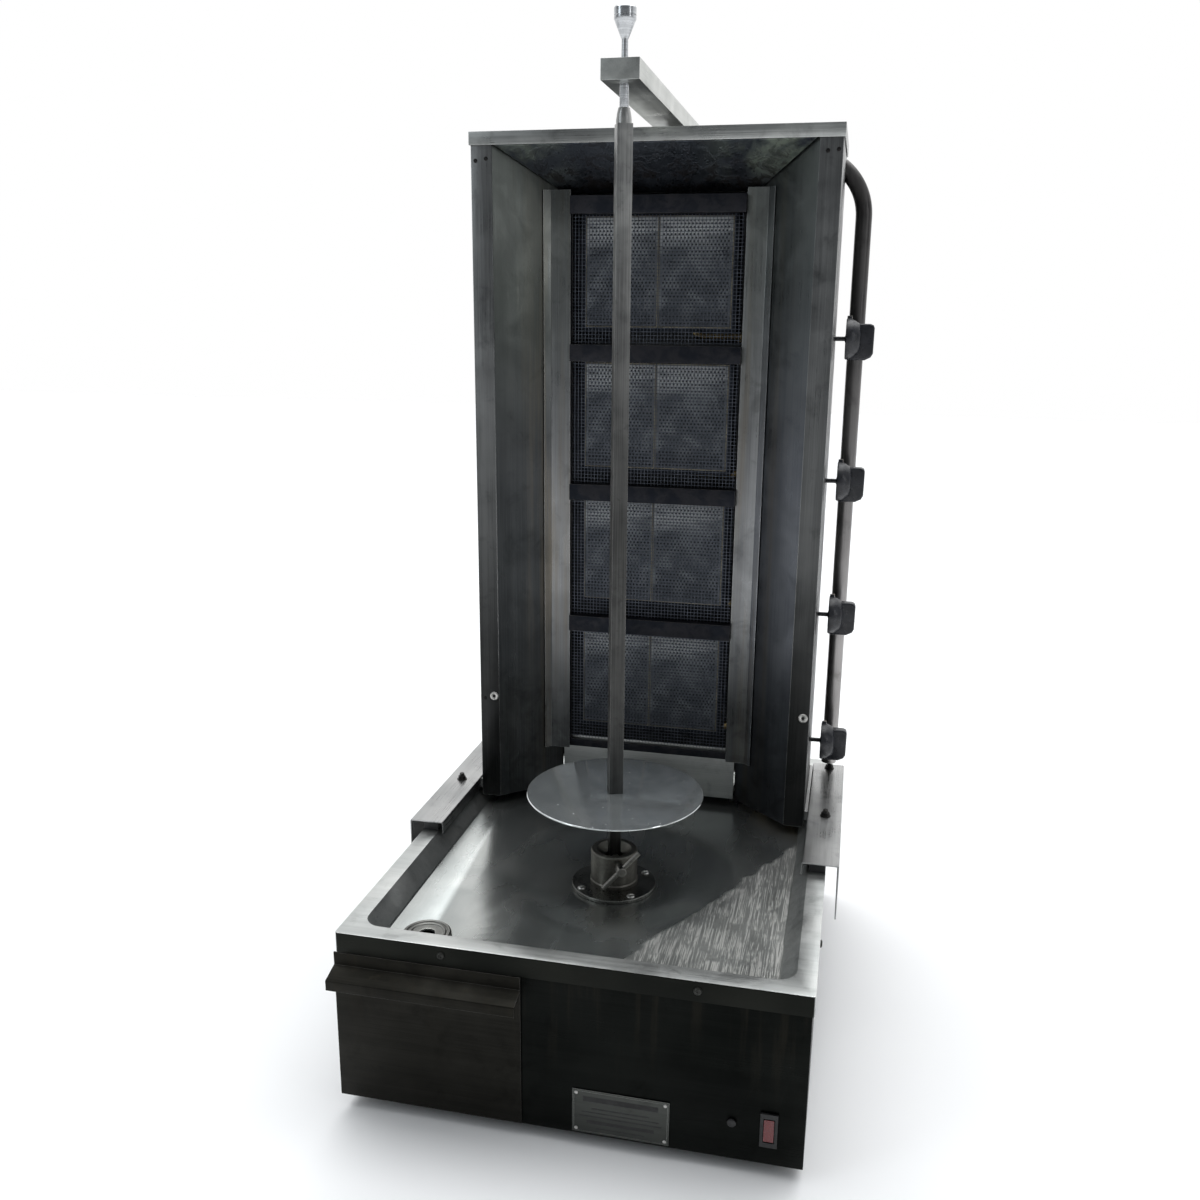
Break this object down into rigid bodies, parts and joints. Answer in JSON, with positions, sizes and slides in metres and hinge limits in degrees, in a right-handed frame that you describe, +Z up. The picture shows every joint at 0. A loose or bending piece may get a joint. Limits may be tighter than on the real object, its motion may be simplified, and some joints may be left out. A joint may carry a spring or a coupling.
{
  "type": "vertical rotisserie broiler",
  "caption": "Counter-top vertical rotisserie broiler: gas burner tower on slides, driven upright skewer with meat disc, drip tray with drain and grease drawer.",
  "frame": {"origin": "middle of the bounding box on the standing surface, under the middle of the machine's footprint", "axes": "+Z up, +X to the cook's right, -Y towards the cook (the side with the drawer and the switch)"},
  "size_m": [0.5204, 0.652, 1.1206],
  "materials": {
    "dark_steel": "satin",
    "bright_steel": "brushed",
    "tower_steel": "satin, heat tinted",
    "polished_steel": "polished",
    "sooty_steel": "burnt, sooty",
    "mesh_wire": "heat darkened",
    "burner_plaque": "matte, pitted",
    "brass": "satin",
    "motor_paint": "satin",
    "black_plastic": "satin",
    "red_plastic": "gloss",
    "rubber": "matte",
    "plate_metal": "satin"
  },
  "bodies": {
    "base": {"base_shell": "dark_steel", "base_floor": "dark_steel", "foot_1": "rubber", "foot_2": "rubber", "foot_3": "rubber", "foot_4": "rubber", "name_plate": "plate_metal", "panel_plug": "black_plastic", "cable_gland": "black_plastic", "drip_tray": "bright_steel", "drain_ring": "bright_steel", "drawer_rail_left": "dark_steel", "drawer_rail_right": "dark_steel", "gearmotor": "motor_paint", "motor_bracket": "dark_steel", "bearing_flange": "tower_steel", "rear_column": "tower_steel", "top_arm": "bright_steel", "switch_bezel": "black_plastic"},
    "drawer": {"drawer_front": "dark_steel", "drawer_pan": "dark_steel"},
    "spit": {"drive_shaft": "polished_steel", "drive_socket": "tower_steel", "skewer": "polished_steel", "meat_disc": "polished_steel", "disc_collar": "polished_steel"},
    "clamp_screw": {"tommy_screw": "tower_steel"},
    "clamp_bar": {"tommy_bar": "tower_steel"},
    "pin": {"top_pin": "polished_steel"},
    "rocker": {"switch_rocker": "red_plastic"},
    "tower": {"tower_casing": "tower_steel", "tower_back_cover": "tower_steel", "tower_cap": "tower_steel", "ceiling_panel": "sooty_steel", "wing_left": "tower_steel", "wing_right": "tower_steel", "strip_left": "tower_steel", "strip_right": "tower_steel", "lower_back_panel": "tower_steel", "burner_1": "burner_plaque", "burner_2": "burner_plaque", "burner_3": "burner_plaque", "burner_4": "burner_plaque", "mesh_guard_1": "mesh_wire", "mesh_guard_2": "mesh_wire", "mesh_guard_3": "mesh_wire", "mesh_guard_4": "mesh_wire", "burner_frame": "sooty_steel", "gas_manifold": "brass", "side_guard_tube": "tower_steel", "saddle_left": "bright_steel", "saddle_right": "bright_steel", "runner_left": "black_plastic", "runner_right": "black_plastic"},
    "knob_1_body": {"knob_1": "black_plastic"},
    "knob_2_body": {"knob_2": "black_plastic"},
    "knob_3_body": {"knob_3": "black_plastic"},
    "knob_4_body": {"knob_4": "black_plastic"}
  },
  "joints": [
    {"name": "tower_slide", "type": "slide", "parent": "base", "child": "tower", "axis": [0, -1, 0], "range_m": [-0.015, 0.07]},
    {"name": "spit_turn", "type": "hinge", "parent": "base", "child": "spit", "pos_m": [0, -0.0695, 0.3], "axis": [0, 0, 1], "continuous": true},
    {"name": "clamp_screw_turn", "type": "hinge", "parent": "spit", "child": "clamp_screw", "pos_m": [0, -0.0695, 0.2135], "axis": [0.3811, -0.9245, 0], "range_deg": [0, 270]},
    {"name": "clamp_bar_slide", "type": "slide", "parent": "clamp_screw", "child": "clamp_bar", "axis": [0.6538, 0.2695, 0.7071], "range_m": [-0.01, 0.01]},
    {"name": "pin_lift", "type": "slide", "parent": "base", "child": "pin", "axis": [0, 0, 1], "range_m": [0, 0.035]},
    {"name": "drawer_slide", "type": "slide", "parent": "base", "child": "drawer", "axis": [0, -1, 0], "range_m": [0, 0.26]},
    {"name": "rocker_tilt", "type": "hinge", "parent": "base", "child": "rocker", "pos_m": [0.20775, -0.2997, 0.0555], "axis": [1, 0, 0], "range_deg": [0, 16]},
    {"name": "knob_1_turn", "type": "hinge", "parent": "tower", "child": "knob_1_body", "pos_m": [0.2265, 0.1785, 0.8036], "axis": [1, 0, 0], "range_deg": [0, 180]},
    {"name": "knob_2_turn", "type": "hinge", "parent": "tower", "child": "knob_2_body", "pos_m": [0.2265, 0.1785, 0.6306], "axis": [1, 0, 0], "range_deg": [0, 180]},
    {"name": "knob_3_turn", "type": "hinge", "parent": "tower", "child": "knob_3_body", "pos_m": [0.2265, 0.1785, 0.4576], "axis": [1, 0, 0], "range_deg": [0, 180]},
    {"name": "knob_4_turn", "type": "hinge", "parent": "tower", "child": "knob_4_body", "pos_m": [0.2265, 0.1785, 0.2846], "axis": [1, 0, 0], "range_deg": [0, 180]}
  ]
}
